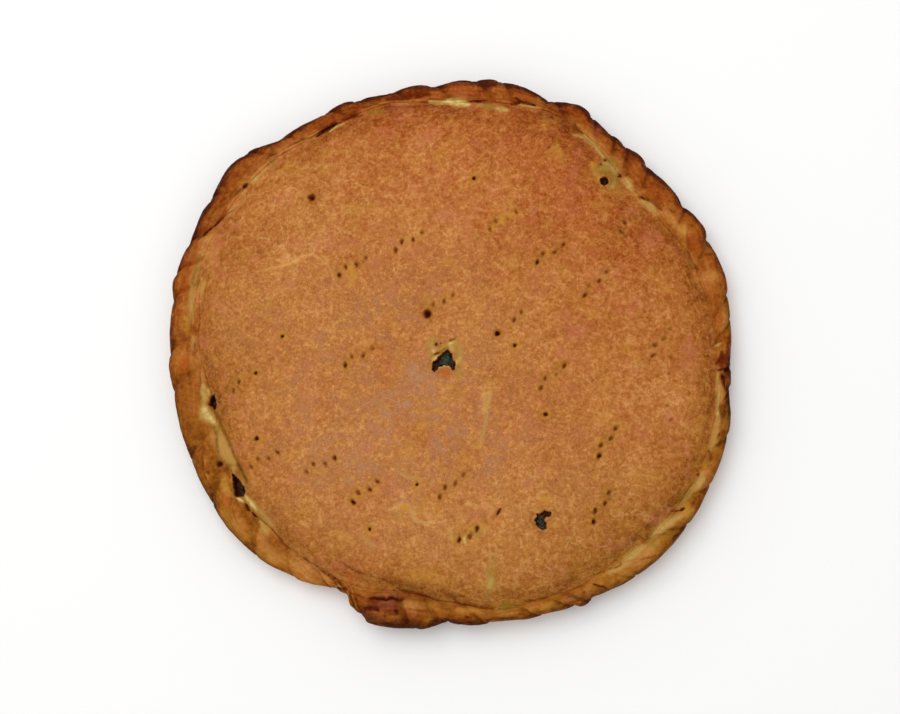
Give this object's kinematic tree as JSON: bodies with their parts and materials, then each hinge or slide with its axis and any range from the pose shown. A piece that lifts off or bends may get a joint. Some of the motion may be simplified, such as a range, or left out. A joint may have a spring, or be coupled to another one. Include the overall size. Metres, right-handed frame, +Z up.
{
  "type": "scallop empanada",
  "caption": "Whole round savoury pie: a low domed lid, fork-pricked and vented with dark filling showing, inside a folded rope edge of browned dough.",
  "frame": {"origin": "middle of the flat underside, under the centre of the pie's box", "axes": "+Z up through the lid; +X to the right and +Y to the top of the pie as seen from above"},
  "size_m": [0.3209, 0.315, 0.0345],
  "materials": {
    "crust": "matte baked dough, golden brown and mottled, darker on the rope edge",
    "filling": "moist dark green-black filling"
  },
  "bodies": {
    "root": {"crust": "crust", "filling_centre_vent": "filling", "filling_side_vent": "filling", "filling_upper_seam": "filling", "filling_lower_seam": "filling", "filling_edge_hole": "filling"}
  },
  "joints": []
}
